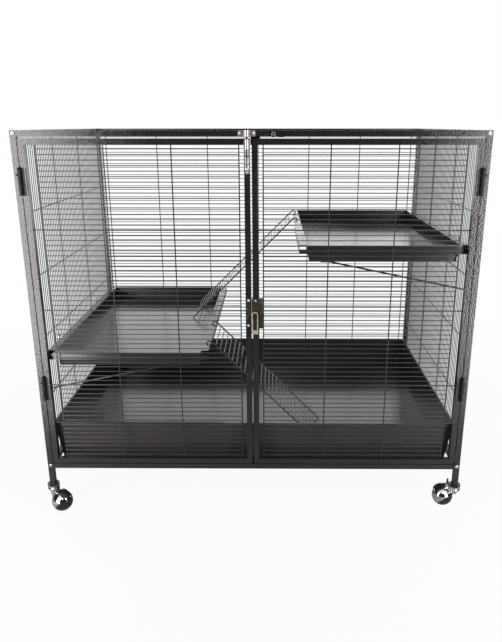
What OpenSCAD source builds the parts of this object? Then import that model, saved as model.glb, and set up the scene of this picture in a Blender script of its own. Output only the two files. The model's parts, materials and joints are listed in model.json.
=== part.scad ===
// Two-door wire cage for ferrets, on ball casters.
// A frame of square tube carries welded wire panels, a lift-out tray, two pan
// shelves and two ladders that hook on the shelves.
// The floor is z = 0, the doors face -Y, and the cage is centred on x = 0, y = 0.

/* [Frame] */
// Width over the posts
frame_w = 1000; // [940:5:1120]
// Depth over the posts
frame_d = 670; // [620:5:760]
// Height of the frame's top above the floor
frame_h = 897; // [860:1:980]
// Side of the square tube
tube = 12.7; // [12:0.1:14]
// Wall of the square tube
tube_wall = 1.2; // [0.9:0.1:1.6]
// Underside of the bottom rails above the floor
base_z = 109; // [104:1:120]
// Lower ends of the posts above the floor
leg_z = 65; // [64:0.5:70]
// Number of tubes under the tray
crossbars = 3; // [2:1:4]

/* [Wire panels] */
// Diameter of the close-set wires
wire_d = 2; // [1.7:0.1:2.3]
// Spacing of the close-set wires
wire_pitch = 11.35; // [11:0.05:14]
// Least space between a tube and the nearest close-set wire
wire_edge = 7; // [5:0.5:9]
// Diameter of the heavier wires among the close-set ones
rod_d = 3; // [2.6:0.1:3.4]
// Diameter of the wires that cross behind the close-set ones
cross_d = 2.5; // [2.1:0.1:2.8]
// Depth that crossing wires sink into each other at a weld
weld = 0.3; // [0.2:0.05:0.4]
// Number of crossing wires in the back and top panels
back_cross_n = 7; // [5:1:9]
// Distance from a tube to the first crossing wire, back and top panels
back_cross_edge = 16.3; // [14:0.1:30]
// Number of crossing wires in a side panel
side_cross_n = 4; // [3:1:5]
// Distance from a tube to the first crossing wire, side panels
side_cross_edge = 161.4; // [155:0.1:170]

/* [Doors] */
// Gap between the two doors
door_gap = 3.4; // [3:0.1:5]
// Gap between a door and its hinge post
door_post_gap = 2; // [1.6:0.1:2.6]
// Gap between the doors and the top rail
door_top_gap = 4.1; // [3:0.1:5]
// Gap between the doors and the bottom rail
door_low_gap = 1.6; // [1:0.1:3]
// Number of crossing wires in a door
door_cross_n = 4; // [3:1:6]
// Distance from the hinge stile to the first crossing wire
door_cross_hinge = 19.9; // [16:0.1:24]
// Distance from the middle stile to the last crossing wire
door_cross_middle = 11.1; // [9:0.1:14]
// Length of close-set wire past the outermost crossing wires
wire_end = 2; // [1.6:0.1:3]

/* [Hinges] */
// Height of a hinge
hinge_h = 57; // [50:1:65]
// Diameter of the hinge barrel
barrel_d = 8; // [7:0.1:9]
// Distance from a post to the hinge axis
hinge_in = 1; // [0.8:0.1:1.4]
// Diameter of the hinge pin
pin_d = 3.2; // [2.6:0.1:3.8]
// Radial clearance of a pin in its bore
pin_gap = 0.05; // [0.03:0.01:0.08]
// Thickness of a hinge leaf
leaf_t = 1.5; // [1.2:0.1:2]
// Width of a hinge leaf
leaf_w = 11; // [10:0.5:11.5]
// Middle of the upper hinges below the frame's top
hinge_top = 105; // [90:1:130]
// Middle of the lower hinges above the bottom rails' undersides
hinge_low = 209.5; // [180:0.5:240]

/* [Slide bolt] */
// Width of the bolt's base
bolt_w = 13; // [12.5:0.1:13.4]
// Height of the bolt's base
bolt_h = 70; // [64:1:76]
// Diameter of the bolt's rod
bolt_d = 6.1; // [5.5:0.1:6.6]
// Diameter of the barrel round the rod
bolt_barrel_d = 10; // [9.6:0.1:11]
// Length of the slot for the knob
bolt_slot_h = 38; // [36:1:44]
// Width of the slot for the knob
bolt_slot_w = 4.6; // [4.4:0.1:5]
// Radial play of the bolt in its keeper
keeper_play = 1; // [0.7:0.1:1.4]

/* [Turn button] */
// Distance of its screw from the middle of the top rail
button_x = 46.9; // [40:0.1:70]
// Length from its screw to its tip
button_len = 24.2; // [22:0.1:27]
// Width of the button
button_w = 13.4; // [12:0.1:14]
// Thickness of the button
button_t = 2; // [1.6:0.1:2.6]

/* [Centre lock] */
// Height of the lock plate and of its keeper
lock_h = 69.8; // [66:0.2:74]
// Top of the lock plate below the frame's top
lock_top = 358.5; // [340:0.5:380]
// Width of the lock plate
lock_w = 27; // [26:0.2:30]
// Length of the hanging lever
lever_h = 52; // [48:0.5:56]
// Width of the hanging lever
lever_w = 14; // [13:0.2:15]
// Top of the hanging lever below the top of the lock plate
lever_in = 30.3; // [28:0.1:33]

/* [Tray] */
// Height of the tray
tray_h = 99.8; // [80:0.2:110]
// Thickness of the tray's sheet
tray_t = 1.5; // [1.2:0.1:2]
// Narrowing of the tray from rim to floor, each side
tray_taper = 12; // [8:0.5:16]
// Width of the tray's rim
tray_rim = 4; // [3:0.1:6]
// Height of the lip that hangs from the rim
tray_lip = 8; // [6:0.5:12]

/* [Shelves] */
// Rim of the right shelf above the floor
upper_z = 651.6; // [630:0.2:670]
// Rim of the left shelf above the floor
lower_z = 401; // [380:0.5:420]
// Distance of a shelf's free edge from the middle of the cage
shelf_edge = 104.5; // [95:0.5:125]
// Gap between a shelf and the side posts' inner faces
shelf_side_gap = 5.3; // [4.5:0.1:6]
// Height of a shelf over its skirt, walls and floor
shelf_h = 39; // [34:0.5:46]
// Thickness of the shelf's sheet
shelf_t = 1; // [0.8:0.1:1.4]
// Width of the rim round the pan
shelf_rim = 18; // [17:0.5:22]
// Height of the skirt that hangs from the rim
skirt_h = 17; // [15:0.5:20]
// Narrowing of the pan from rim to floor, each side
shelf_taper = 7; // [4:0.5:10]
// Depth of the corner notch down the skirt
notch_h = 7; // [5:0.5:9]
// Diameter of a shelf brace
brace_d = 4; // [3.4:0.1:4.2]
// Fall of a brace from the shelf's rim to the side panel
brace_drop = 112; // [105:0.5:118]
// Distance of a brace's upper end from the pan's free wall
brace_in = 43; // [35:0.5:60]

/* [Ladders] */
// Width over a ladder's rails
ladder_w = 163; // [150:1:175]
// Middle of the upper ladder from the back of the cage, and of the lower one
// from its front
ladder_in = 167; // [159:1:175]
// Diameter of a ladder's rails
rail_d = 3.5; // [3.1:0.1:3.9]
// Diameter of the rungs
rung_d = 2.4; // [2:0.1:2.8]
// Spacing of the rungs
rung_pitch = 14; // [13:0.5:18]
// Radius of the hooks, to the middle of the wire
hook_r = 6.5; // [6.2:0.1:7.5]
// Foot of the upper ladder from the lower shelf's free edge
upper_foot = 83.5; // [60:0.5:110]
// Foot of the lower ladder right of the middle of the cage
lower_foot = 175; // [140:1:210]

/* [Casters] */
// Diameter of a caster's ball
ball_d = 50; // [46:0.5:50]
// Distance from the stem to the middle of the ball
swivel_offset = 28; // [27.5:0.1:30]
// Diameter of the swivel head and of the socket's flange
swivel_d = 28; // [24:0.5:29]
// Slope of the ball's axle
axle_tilt = 45; // [40:1:50]
// Diameter of the axle
axle_d = 6; // [5:0.1:7]
// Distance from the middle of a ball to the edge of its hood
hood_in = 7.5; // [4:0.5:9]
// Diameter of the stem in the leg
stem_d = 8; // [7:0.1:8.4]
// Length of the stem above the leg's lower end
stem_in = 26; // [20:1:28]
// Depth of the plug in the leg's lower end
plug_in = 30; // [28:1:40]
// Thickness of the plug's flange
flange_t = 3; // [2:0.5:4]
// Turn of the front left caster about its stem
left_turn = -34; // [-60:1:-10]
// Turn of the front right caster about its stem
right_turn = 146; // [120:1:170]

/* [Hidden] */

// Colours
coat = "dimgray";
black = "#1c1c1e";
chrome = "silver";
steel = "gainsboro";

// Faces of the frame
in_x = frame_w / 2 - tube;
in_y = frame_d / 2 - tube;
mid_x = frame_w / 2 - tube / 2;
mid_y = frame_d / 2 - tube / 2;
face_y = -frame_d / 2;
low_z = base_z + tube;
top_z = frame_h - tube;

// Clearances
gap = 0.3;
slide_gap = 0.2;
screw_gap = 0.1;
past = 1;

// Doors
door_x0 = door_gap / 2;
door_x1 = in_x - door_post_gap;
door_z0 = low_z + door_low_gap;
door_z1 = top_z - door_top_gap;
door_w = door_x1 - door_x0;
door_h = door_z1 - door_z0;

// Hinges
hinge_x = in_x - hinge_in;
hinge_y = face_y - barrel_d / 2 - slide_gap;
hinge_zs = [frame_h - hinge_top, base_z + hinge_low];
leaf_x = in_x + leaf_w / 2;
door_leaf_x = door_x1 - tube / 2;
door_leaf_x0 = door_x1 - leaf_w - 0.7;
leaf_screw_up = hinge_h / 4;
leaf_screw_low = hinge_h * 0.42;
leaf_screw_mid = hinge_h * 0.12;

// Screws: head diameter, head height, shank diameter
corner_screw = [9, 2.6, 5];
small_screw = [5.4, 1.6, 3];
corner_screw_in = 4;
// The cut in a screw's head: the cross's half length and half width and the
// socket's width as shares of the head's radius, and the depth of its height
cross_long = 0.62;
cross_wide = 0.12;
socket_wide = 0.9;
drive_deep = 0.6;
small_screw_in = 3;
plug = 10;
corner_zs = [base_z + tube / 2, frame_h - tube / 2];

// Slide bolt
bolt_x = -door_x0 - 6.7;
bolt_y = face_y - bolt_barrel_d / 2 - slide_gap;
bolt_top = door_z1 - 2;
bolt_foot = 9;
bolt_barrel_h = bolt_h - bolt_foot;
bolt_slot_z = bolt_top - bolt_barrel_h + bolt_slot_h / 2 + 3.8;
bolt_plate_t = 1.5;
keeper_gap = 0.7;
keeper_w = 36.5;
keeper_screw_in = 3.4;
keeper_screw_xs = [for (s = [-1, 1]) bolt_x + s * (keeper_w / 2 - keeper_screw_in)];
bolt_tip = top_z - keeper_gap;
bolt_up = tube - 1.7;
knob_d = bolt_slot_w - 2 * slide_gap;
knob_z = bolt_slot_z + bolt_slot_h / 2 - knob_d / 2 - slide_gap - bolt_up;
bolt_len = bolt_tip - knob_z + 4;

// Turn button
button_z = frame_h - tube / 2 - 1.3;
button_pin_d = 5;

// Centre lock
plate_x0 = door_x0 - 2.5;
plate_z0 = frame_h - lock_top - lock_h;
plate_t = 1.5;
plate_sink = 1.9;
tongue_t = 2;
tongue_len = 18.4;
tongue_w = 9;
plate_y = face_y - gap - tongue_t - gap - plate_t;
lever_x = plate_x0 + 0.2 + lever_w / 2;
lever_z = frame_h - lock_top - lever_in - lever_w / 2;
lever_t = 3.6;
spindle_d = 6;
square_d = 4;
strap_x0 = -door_x0 - tube;
strap_x1 = -door_x0 - 0.5;
strap_foot = 12;
bridge_z0 = lever_z - tongue_w / 2 - 2;
bridge_z1 = lever_z + tongue_len + 3;

// Wires in a span, and the place of wire i counted from its start
function wires_in(span) = floor((span - 2 * wire_edge) / wire_pitch) + 1;
function wire_at(span, i) = span / 2 + (i - (wires_in(span) + 1) / 2) * wire_pitch;
// Places of n crossing wires, the outermost ones e0 and e1 from the ends
function cross_at(span, n, e0, e1) = [for (k = [0 : n - 1]) e0 + k * (span - e0 - e1) / (n - 1)];
// Numbers of the heavier wires that part a span in equal shares
function share(span, parts) = [for (k = [1 : parts - 1]) floor(k * wires_in(span) / parts)];
// Middle of the space after wire k of a side panel, counted from the front
function side_space(k) = wire_at(2 * in_y, k) + wire_pitch / 2 - in_y;

// Shelves
shelf_x1 = in_x - shelf_side_gap;
shelf_y0 = -in_y + 6.3;
shelf_y1 = in_y - 2.3;
side_n = wires_in(2 * in_y);
side_heavy = [20, 38];
brace_spaces = [side_space(5), side_space(side_n - 5)];
bolt_spaces = [side_space(12), side_space(side_n - 12)];
lug_x = shelf_edge + shelf_rim + brace_in;
lug_t = 2;
lug_h = 9;
mesh_out = mid_x + wire_d / 2;
hook_out = mesh_out + gap + brace_d / 2;
brace_hook = 14;
bend_ratio = 1.04;
bolt_low = skirt_h / 2;
bolt_shank = 5;
nut_d = 9.2;
nut_h = 4;

// Ladders
ladder_y = frame_d / 2 - ladder_in;
hook_x = shelf_edge + hook_r / 2 + gap;
// Degrees by which the hook passes level at its tip, and runs into its rail
hook_end = 35;
hook_root = 5;
// How much thinner the hook is than the rail it is drawn down from
hook_less = 0.2;
tray_floor = low_z + tray_t;
shelf_floor = lower_z - shelf_h + shelf_t;

// Casters
ball_r = ball_d / 2;
head_top = leg_z - flange_t - gap;
head_low = ball_d + 0.2;
edge_gap = 0.6;
shell_t = 3;
axle_in = 12;

// A square tube along Z, standing on z = 0
module square_tube(len) {
    difference() {
        translate([-tube / 2, -tube / 2, 0])
            cube([tube, tube, len]);
        translate([-tube / 2 + tube_wall, -tube / 2 + tube_wall, -past])
            cube([tube - 2 * tube_wall, tube - 2 * tube_wall, len + 2 * past]);
    }
}

// A tube along Z with both ends cut at 45 degrees, the long face at -X
module mitred_tube(len) {
    difference() {
        translate([0, tube / 2, 0])
            rotate([90, 0, 0])
                linear_extrude(tube)
                    polygon([[0, 0], [0, len], [tube, len - tube], [tube, tube]]);
        translate([tube_wall, -tube / 2 + tube_wall, -past])
            cube([tube - 2 * tube_wall, tube - 2 * tube_wall, len + 2 * past]);
    }
}

// A cross cut from z = low up through a head of the given radius
module cross_cut(head, low) {
    for (turn = [45, 135])
        rotate(turn)
            translate([-cross_long * head, -cross_wide * head, low])
                cube([2 * cross_long * head, 2 * cross_wide * head, head]);
}

// A screw along +Z with its head's underside on z = 0 and its shank below, and
// a cross or a six-sided socket cut in the head
module screw(size, len, drive = "cross") {
    head = size[0] / 2;
    tall = size[1];
    difference() {
        rotate_extrude($fn = 48)
            polygon([[0, -len], [size[2] / 2, -len], [size[2] / 2, 0], [head, 0],
                [head, 0.35 * tall], [0.62 * head, tall], [0, tall]]);
        if (drive == "cross")
            cross_cut(head, (1 - drive_deep) * tall);
        if (drive == "socket")
            translate([0, 0, (1 - drive_deep) * tall])
                cylinder(d = socket_wide * head, h = tall, $fn = 6);
    }
}

// A straight round rod between two points
module rod(a, b, d) {
    v = b - a;
    translate(a)
        rotate([0, acos(v[2] / norm(v)), atan2(v[1], v[0])])
            cylinder(d = d, h = norm(v), $fn = 32);
}

// A round rod bent at each inner point of a list, with a ball a little fatter
// than the rod at each bend
module bent_rod(points, d) {
    last = len(points) - 1;
    for (i = [0 : last - 1])
        rod(points[i], points[i + 1], d);
    for (i = [1 : last - 1])
        translate(points[i])
            sphere(d = bend_ratio * d, $fn = 32);
}

// A box whose four sides lean in by lean from its top to its floor
module frustum(x0, x1, y0, y1, z0, z1, lean) {
    intersection() {
        translate([0, y1, 0])
            rotate([90, 0, 0])
                linear_extrude(y1 - y0)
                    polygon([[x0 + lean, z0], [x1 - lean, z0], [x1, z1], [x0, z1]]);
        translate([x0, 0, 0])
            rotate([90, 0, 90])
                linear_extrude(x1 - x0)
                    polygon([[y0 + lean, z0], [y1 - lean, z0], [y1, z1], [y0, z1]]);
    }
}

// A sheet pan with leaning walls, open at the top, its mouth inside the rim
module pan(x0, x1, y0, y1, z1, tall, t, lean) {
    slope = lean / tall;
    difference() {
        frustum(x0 - t, x1 + t, y0 - t, y1 + t, z1 - tall, z1, lean);
        frustum(x0 - slope * past, x1 + slope * past, y0 - slope * past, y1 + slope * past,
            z1 - tall + t, z1 + past, slope * (tall - t + past));
    }
}

// A flat rim with a skirt that hangs from its outer edge
module rim(x0, x1, y0, y1, z1, wide, t, skirt) {
    difference() {
        translate([x0, y0, z1 - skirt])
            cube([x1 - x0, y1 - y0, skirt]);
        translate([x0 + t, y0 + t, z1 - skirt - past])
            cube([x1 - x0 - 2 * t, y1 - y0 - 2 * t, skirt - t + past]);
        translate([x0 + wide, y0 + wide, z1 - skirt - past])
            cube([x1 - x0 - 2 * wide, y1 - y0 - 2 * wide, skirt + 2 * past]);
    }
}

// Close-set wires along X stacked up Z, and crossing wires behind them on +Y.
// The thin wires run from thin[0] to thin[1], the heavy ones the whole width.
module wire_panel(wide, tall, heavy, crosses, thin) {
    n = wires_in(tall);
    for (i = [1 : n]) {
        strong = len(search(i, heavy)) > 0;
        x0 = strong ? 0 : thin[0];
        x1 = strong ? wide : thin[1];
        translate([x0, 0, tall - wire_at(tall, i)])
            rotate([0, 90, 0])
                cylinder(d = strong ? rod_d : wire_d, h = x1 - x0, $fn = 24);
    }
    for (x = crosses)
        translate([x, (cross_d + wire_d) / 2 - weld, 0])
            cross_wire(tall);
}

// A crossing wire with flats, so that the close-set wires seat on one of them
module cross_wire(len) {
    rotate(22.5)
        cylinder(d = cross_d / cos(22.5), h = len, $fn = 8);
}

// The same thing left and right of the middle
module both_sides() {
    children();
    mirror([1, 0, 0])
        children();
}

// ---- Frame ----

// A post standing on its own axis; its screws run along Y through both walls
module post() {
    difference() {
        union() {
            translate([0, 0, leg_z])
                square_tube(frame_h - leg_z);
            translate([-tube / 2, -tube / 2, frame_h - tube_wall])
                cube([tube, tube, tube_wall]);
        }
        for (z = corner_zs)
            translate([0, 0, z])
                rotate([90, 0, 0])
                    cylinder(d = corner_screw[2] + 2 * screw_gap, h = 2 * tube, center = true, $fn = 48);
    }
}

// A front post also takes the small screws of the hinge ears
module hinge_post() {
    difference() {
        translate([mid_x, -mid_y, 0])
            post();
        for (z = hinge_zs)
            translate([leaf_x, face_y - past, z + leaf_screw_up])
                rotate([-90, 0, 0])
                    cylinder(d = small_screw[2] + 2 * screw_gap, h = tube_wall + 2 * past, $fn = 32);
    }
}

module post_front_left() {
    color(coat)
        mirror([1, 0, 0])
            hinge_post();
}

module post_front_right() {
    color(coat)
        hinge_post();
}

module post_rear_left() {
    color(coat)
        translate([-mid_x, mid_y, 0])
            post();
}

module post_rear_right() {
    color(coat)
        translate([mid_x, mid_y, 0])
            post();
}

// A rail across the width
module wide_rail(y, z) {
    translate([-in_x, y, z])
        rotate([0, 90, 0])
            square_tube(2 * in_x);
}

// A rail from front to back, with a solid plug at each end for its screws
module deep_rail(x, z) {
    translate([x, 0, z])
        difference() {
            translate([0, -in_y, 0])
                rotate([-90, 0, 0]) {
                    square_tube(2 * in_y);
                    for (y = [0, 2 * in_y - plug])
                        translate([-tube / 2, -tube / 2, y])
                            cube([tube, tube, plug]);
                }
            for (side = [-1, 1])
                translate([0, side * in_y, 0])
                    rotate([90, 0, 0])
                        cylinder(d = corner_screw[2] + 2 * screw_gap, h = 2 * (corner_screw_in + past),
                            center = true, $fn = 48);
        }
}

module rail_top_front() {
    color(coat)
        difference() {
            wide_rail(-mid_y, top_z + tube / 2);
            for (x = keeper_screw_xs)
                translate([x, face_y - past, frame_h - tube / 2])
                    rotate([-90, 0, 0])
                        cylinder(d = small_screw[2] + 2 * screw_gap, h = tube_wall + 2 * past, $fn = 32);
            translate([button_x, face_y - past, button_z])
                rotate([-90, 0, 0])
                    cylinder(d = small_screw[2] + 2 * screw_gap, h = tube_wall + 2 * past, $fn = 32);
        }
}

module rail_top_rear() {
    color(coat)
        wide_rail(mid_y, top_z + tube / 2);
}

module rail_top_left() {
    color(coat)
        deep_rail(-mid_x, top_z + tube / 2);
}

module rail_top_right() {
    color(coat)
        deep_rail(mid_x, top_z + tube / 2);
}

module rail_bottom_front() {
    color(coat)
        wide_rail(-mid_y, base_z + tube / 2);
}

module rail_bottom_rear() {
    color(coat)
        wide_rail(mid_y, base_z + tube / 2);
}

module rail_bottom_left() {
    color(coat)
        deep_rail(-mid_x, base_z + tube / 2);
}

module rail_bottom_right() {
    color(coat)
        deep_rail(mid_x, base_z + tube / 2);
}

// Tubes from front to back that the tray stands on
module tray_crossbars() {
    color(coat)
        for (k = [1 : crossbars])
            translate([-in_x + k * 2 * in_x / (crossbars + 1), -in_y, base_z + tube / 2])
                rotate([-90, 0, 0])
                    square_tube(2 * in_y);
}

module mesh_back() {
    color(coat)
        translate([in_x, mid_y, low_z])
            rotate(180)
                wire_panel(2 * in_x, top_z - low_z, share(top_z - low_z, 4),
                    cross_at(2 * in_x, back_cross_n, back_cross_edge, back_cross_edge), [0, 2 * in_x]);
}

// A side panel: its close-set wires stand up, its crossing wires lie inside them
module side_mesh() {
    tall = top_z - low_z;
    translate([mid_x, in_y, low_z])
        rotate([0, -90, 90])
            wire_panel(tall, 2 * in_y, side_heavy,
                cross_at(tall, side_cross_n, side_cross_edge, side_cross_edge), [0, tall]);
}

module mesh_left() {
    color(coat)
        mirror([1, 0, 0])
            side_mesh();
}

module mesh_right() {
    color(coat)
        side_mesh();
}

// The top panel: its crossing wires lie under the close-set ones
module mesh_top() {
    color(coat)
        translate([-in_x, -in_y, top_z + tube / 2])
            rotate([-90, 0, 0])
                wire_panel(2 * in_x, 2 * in_y, share(2 * in_y, 3),
                    cross_at(2 * in_x, back_cross_n, back_cross_edge, back_cross_edge), [0, 2 * in_x]);
}

// A tab behind the top rail, under the roof's crossing wires, that the closed
// doors meet
module door_stop() {
    wide = 20;
    tab_t = 2;
    roof_low = tube / 2 - wire_d / 2 - cross_d + weld;
    color(coat) {
        translate([-1, -in_y, top_z])
            cube([wide, tab_t, roof_low - gap]);
        translate([-1, -in_y + gap, door_z1 - tube])
            cube([wide, tab_t - gap, top_z - door_z1 + tube]);
    }
}

// ---- Tray and shelves ----

module tray() {
    x1 = in_x - 3.3;
    y0 = -in_y + 6.3;
    y1 = in_y - 5.3;
    wall = tray_rim;
    color(black) {
        pan(-x1 + wall, x1 - wall, y0 + wall, y1 - wall, low_z + tray_h, tray_h, tray_t, tray_taper);
        rim(-x1, x1, y0, y1, low_z + tray_h, wall, tray_t, tray_lip);
    }
}

// A shelf for the right side with its rim at z
module shelf(z, rail_ys) {
    notch = shelf_rim - shelf_t;
    difference() {
        union() {
            pan(shelf_edge + shelf_rim, shelf_x1 - shelf_rim, shelf_y0 + shelf_rim, shelf_y1 - shelf_rim,
                z, shelf_h, shelf_t, shelf_taper);
            rim(shelf_edge, shelf_x1, shelf_y0, shelf_y1, z, shelf_rim, shelf_t, skirt_h);
        }
        for (x = [shelf_edge, shelf_x1], y = [shelf_y0, shelf_y1])
            translate([x, y, z])
                cube([2 * notch, 2 * notch, 2 * notch_h], center = true);
        for (y = rail_ys)
            translate([hook_x + hook_r, y, z - shelf_t - past])
                cylinder(d = rail_d + 2 * gap, h = shelf_t + 2 * past, $fn = 32);
        for (y = bolt_spaces)
            translate([shelf_x1 - shelf_t - past, y, z - bolt_low])
                rotate([0, 90, 0])
                    cylinder(d = bolt_shank + 0.6, h = shelf_t + 2 * past, $fn = 32);
    }
}

// The two rails of a ladder, about y
function rails_at(y) = [y - ladder_w / 2 + rail_d / 2, y + ladder_w / 2 - rail_d / 2];

module shelf_upper() {
    color(black)
        shelf(upper_z, rails_at(ladder_y));
}

module shelf_lower() {
    color(black)
        mirror([1, 0, 0])
            shelf(lower_z, rails_at(-ladder_y));
}

// Lugs under a right shelf that hold the upper ends of its braces
module lugs(z) {
    for (y = brace_spaces)
        translate([lug_x, y + brace_d / 2 + gap, z - shelf_h])
            difference() {
                translate([-lug_h, 0, -lug_h])
                    cube([2 * lug_h, lug_t, lug_h]);
                translate([0, -past, -lug_h / 2])
                    rotate([-90, 0, 0])
                        cylinder(d = brace_d + 2 * screw_gap, h = lug_t + 2 * past, $fn = 32);
            }
}

module shelf_lugs() {
    color(black) {
        lugs(upper_z);
        mirror([1, 0, 0])
            lugs(lower_z);
    }
}

// Braces under a right shelf: through the lug, down to the side panel, out
// between two of its wires and down behind them
module braces(z) {
    end_z = z - brace_drop;
    for (y = brace_spaces)
        bent_rod([
            [lug_x, y + brace_d / 2 + gap + lug_t + 3, z - shelf_h - lug_h / 2],
            [lug_x, y, z - shelf_h - lug_h / 2],
            [hook_out, y, end_z],
            [hook_out, y, end_z - brace_hook]
        ], brace_d);
}

module shelf_braces() {
    color(black) {
        braces(upper_z);
        mirror([1, 0, 0])
            braces(lower_z);
    }
}

// Bolts that hold a right shelf's skirt to the side panel, each with two nuts
module side_bolts(z) {
    head_x = mesh_out + slide_gap;
    for (y = bolt_spaces)
        translate([0, y, z - bolt_low]) {
            translate([head_x, 0, 0])
                rotate([0, 90, 0]) {
                    cylinder(d = 14, h = 1.2, $fn = 48);
                    translate([0, 0, 1.2])
                        screw([8, 2.6, bolt_shank], head_x + 1.2 - shelf_x1 + shelf_t + nut_h + 2);
                }
            for (x = [shelf_x1, shelf_x1 - shelf_t - nut_h])
                translate([x, 0, 0])
                    rotate([0, 90, 0])
                        difference() {
                            cylinder(d = nut_d, h = nut_h, $fn = 6);
                            translate([0, 0, -past])
                                cylinder(d = bolt_shank + 2 * screw_gap, h = nut_h + 2 * past, $fn = 32);
                        }
        }
}

module shelf_bolts() {
    color(steel) {
        side_bolts(upper_z);
        mirror([1, 0, 0])
            side_bolts(lower_z);
    }
}

// ---- Ladders ----

// Slope of a rail that touches its hook's circle and ends at run and drop,
// to a hundredth of a degree
function rail_slope(run, drop) =
    round(100 * (atan2(drop, run) + asin(hook_r / norm([run, drop])))) / 100;

// A ladder that hooks on at the origin and leans down to -X. Its feet stand
// run to the left of the hooks, on a floor that is fall below them.
module ladder(run, fall) {
    drop = fall - gap - rail_d / 2 * cos(rail_slope(run, fall));
    slope = rail_slope(run, drop);
    long = sqrt(run * run + drop * drop - hook_r * hook_r);
    rungs = floor((long - 2 * rung_pitch) / rung_pitch) + 1;
    up = (rail_d + rung_d) / 2 - weld;
    for (y = rails_at(0))
        translate([0, y, 0]) {
            rotate([90, 0, 0])
                rotate(-hook_end)
                    rotate_extrude(angle = hook_end + 90 + slope + hook_root, $fn = 64)
                        translate([hook_r, 0])
                            circle(d = rail_d - hook_less, $fn = 32);
            rotate([0, -slope, 0])
                translate([-long, 0, hook_r])
                    rotate([0, 90, 0])
                        cylinder(d = rail_d, h = long, $fn = 32);
        }
    rotate([0, -slope, 0])
        for (k = [0 : rungs - 1])
            translate([-rung_pitch - k * rung_pitch, 0, hook_r + up])
                rotate([90, 0, 0])
                    cylinder(d = rung_d, h = ladder_w - rail_d / 3, center = true, $fn = 24);
}

module ladder_upper() {
    color(coat)
        translate([hook_x, ladder_y, upper_z - shelf_t / 2])
            ladder(hook_x + shelf_edge + upper_foot, upper_z - shelf_t / 2 - shelf_floor);
}

module ladder_lower() {
    color(coat)
        translate([-hook_x, -ladder_y, lower_z - shelf_t / 2])
            rotate(180)
                ladder(hook_x + lower_foot, lower_z - shelf_t / 2 - tray_floor);
}

// ---- Doors ----

// Holes in the front wall of a door tube for small screws at [x, z]
module small_holes(places) {
    for (p = places)
        translate([p[0], face_y - past, p[1]])
            rotate([-90, 0, 0])
                cylinder(d = small_screw[2] + 2 * screw_gap, h = tube_wall + 2 * past, $fn = 32);
}

// Small screws at [x, z] whose heads sit at y
module small_screws(places, y) {
    for (p = places)
        translate([p[0], y, p[1]])
            rotate([90, 0, 0])
                screw(small_screw, y_depth(y));
}

// Length of a small screw from a head at y to just inside a tube's front wall
function y_depth(y) = face_y - y + tube_wall + small_screw_in;

// The right door's upright tubes
module stiles() {
    translate([door_x0, -mid_y, door_z0])
        mitred_tube(door_h);
    translate([door_x1, -mid_y, door_z0])
        rotate(180)
            mitred_tube(door_h);
}

// The right door's level tubes
module door_rails() {
    translate([door_x1, -mid_y, door_z0])
        rotate([0, -90, 0])
            mitred_tube(door_w);
    translate([door_x0, -mid_y, door_z1])
        rotate([0, 90, 0])
            mitred_tube(door_w);
}

module door_mesh() {
    wide = door_w - 2 * tube;
    tall = door_h - 2 * tube;
    crosses = cross_at(wide, door_cross_n, door_cross_middle, door_cross_hinge);
    translate([door_x0 + tube, -mid_y, door_z0 + tube])
        wire_panel(wide, tall, share(tall, 4), crosses,
            [door_cross_middle - wire_end, wide - door_cross_hinge + wire_end]);
}

// Screws of a right-hand door leaf, two to a hinge
function leaf_screws() = [for (z = hinge_zs, s = [-leaf_screw_mid, -leaf_screw_low]) [door_leaf_x, z + s]];
// The screw of the bolt, in its plate below the barrel
bolt_screws = [[bolt_x, bolt_top - bolt_h + bolt_foot / 2]];
// Screws of the lock plate and of the keeper strap
plate_screws = [[door_x0 + tube / 2, plate_z0 + lock_h - 5.5], [door_x0 + tube / 2, plate_z0 + 5.5]];
strap_screws = [[-door_x0 - tube / 2, plate_z0 + lock_h - 5.5], [-door_x0 - tube / 2, plate_z0 + 5.5]];

function mirrored(places) = [for (p = places) [-p[0], p[1]]];

module door_left_stiles() {
    color(coat)
        difference() {
            mirror([1, 0, 0])
                stiles();
            small_holes(concat(mirrored(leaf_screws()), bolt_screws, strap_screws));
        }
}

module door_left_rails() {
    color(coat)
        mirror([1, 0, 0])
            door_rails();
}

module door_left_mesh() {
    color(coat)
        mirror([1, 0, 0])
            door_mesh();
}

module door_right_stiles() {
    color(coat)
        difference() {
            stiles();
            small_holes(concat(leaf_screws(), plate_screws));
        }
}

module door_right_rails() {
    color(coat)
        door_rails();
}

module door_right_mesh() {
    color(coat)
        door_mesh();
}

// ---- Hinges ----

module pin_bore(z) {
    translate([hinge_x, hinge_y, z - hinge_h])
        cylinder(d = pin_d + 2 * pin_gap, h = 2 * hinge_h, $fn = 48);
}

// The ear on a right post, with the upper knuckle
module post_leaf(z) {
    difference() {
        union() {
            translate([hinge_x, hinge_y, z + slide_gap])
                cylinder(d = barrel_d, h = hinge_h / 2 - slide_gap, $fn = 48);
            translate([hinge_x, face_y - leaf_t, z + slide_gap])
                cube([in_x + leaf_w - hinge_x, leaf_t, hinge_h / 2 - slide_gap]);
        }
        pin_bore(z);
        translate([leaf_x, face_y - leaf_t - past, z + leaf_screw_up])
            rotate([-90, 0, 0])
                cylinder(d = small_screw[2] + 2 * screw_gap, h = leaf_t + 2 * past, $fn = 32);
    }
}

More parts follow.
